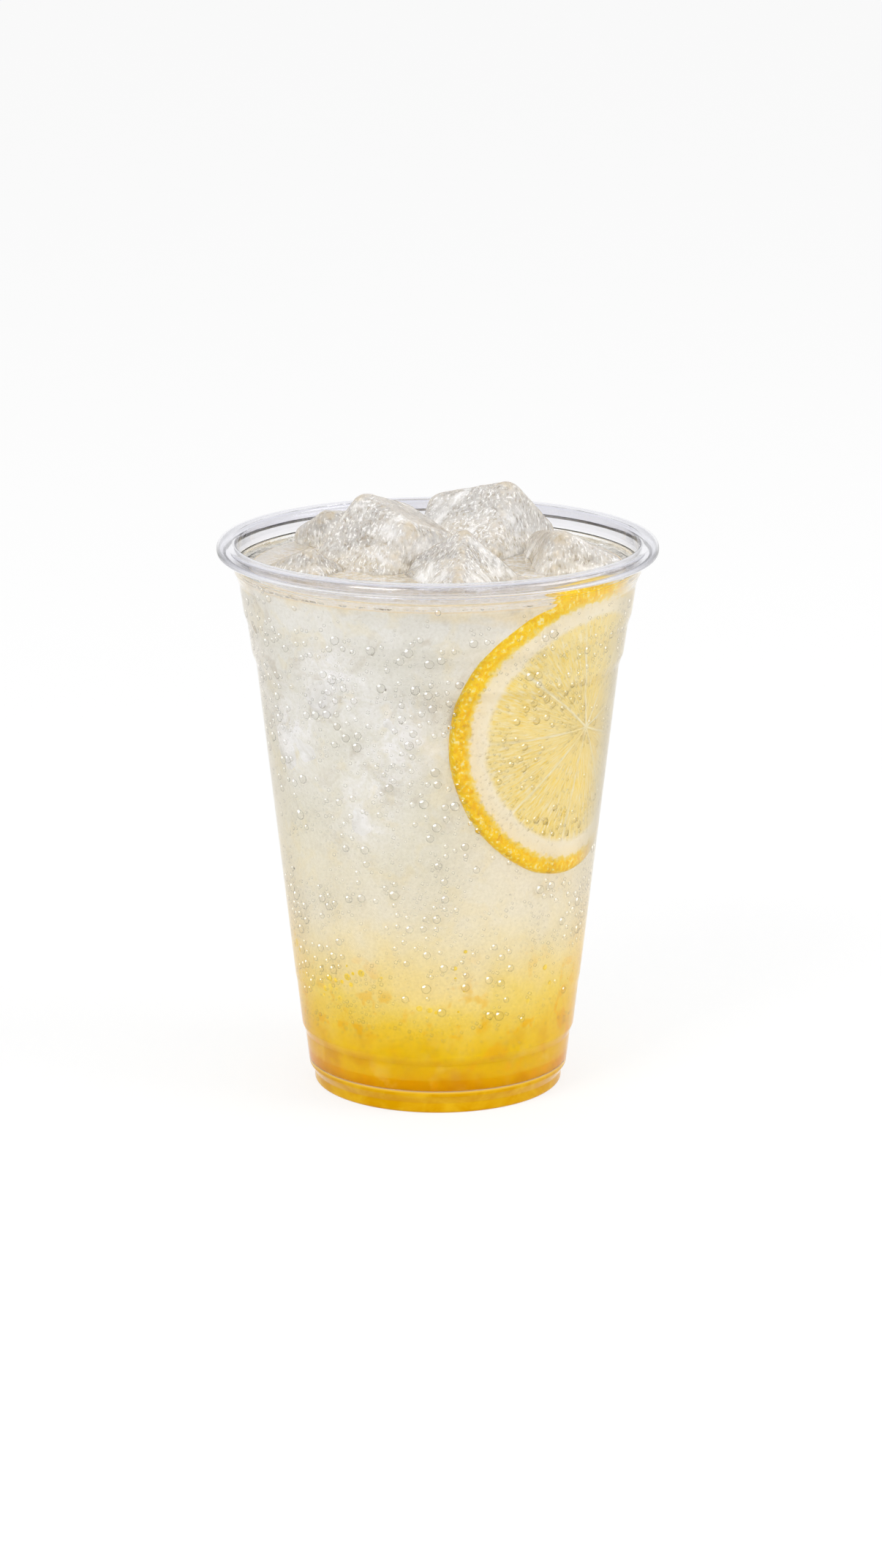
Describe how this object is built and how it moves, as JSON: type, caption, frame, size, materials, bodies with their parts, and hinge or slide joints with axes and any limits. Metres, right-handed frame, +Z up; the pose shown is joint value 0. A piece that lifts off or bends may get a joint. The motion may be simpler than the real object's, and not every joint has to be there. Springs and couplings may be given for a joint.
{
  "type": "glass of soda",
  "caption": "Clear thin-walled cup with rolled rim and stacking shoulders, filled with cloudy fizzy lemon soda, golden syrup at the foot, a bent lemon slice and ice lumps.",
  "frame": {"origin": "centre of the cup's foot, on the surface it stands on", "axes": "+Z up along the cup's axis, -Y towards the front, where the lemon slice shows to the right"},
  "size_m": [0.098, 0.098, 0.1341],
  "materials": {
    "clear_cup": "clear glossy thin plastic sheet",
    "soda": "cloudy pale cream liquid",
    "syrup": "thick golden liquid with pulp",
    "lemon": "wet fruit with golden rind and pale pith",
    "ice": "wet melting ice, partly frosted"
  },
  "bodies": {
    "root": {"cup": "clear_cup", "syrup": "syrup", "soda": "soda", "lemon_slice": "lemon", "ice_left": "ice", "ice_front": "ice", "ice_back": "ice", "ice_right": "ice", "ice_far_left": "ice", "ice_near_left": "ice"}
  },
  "joints": []
}
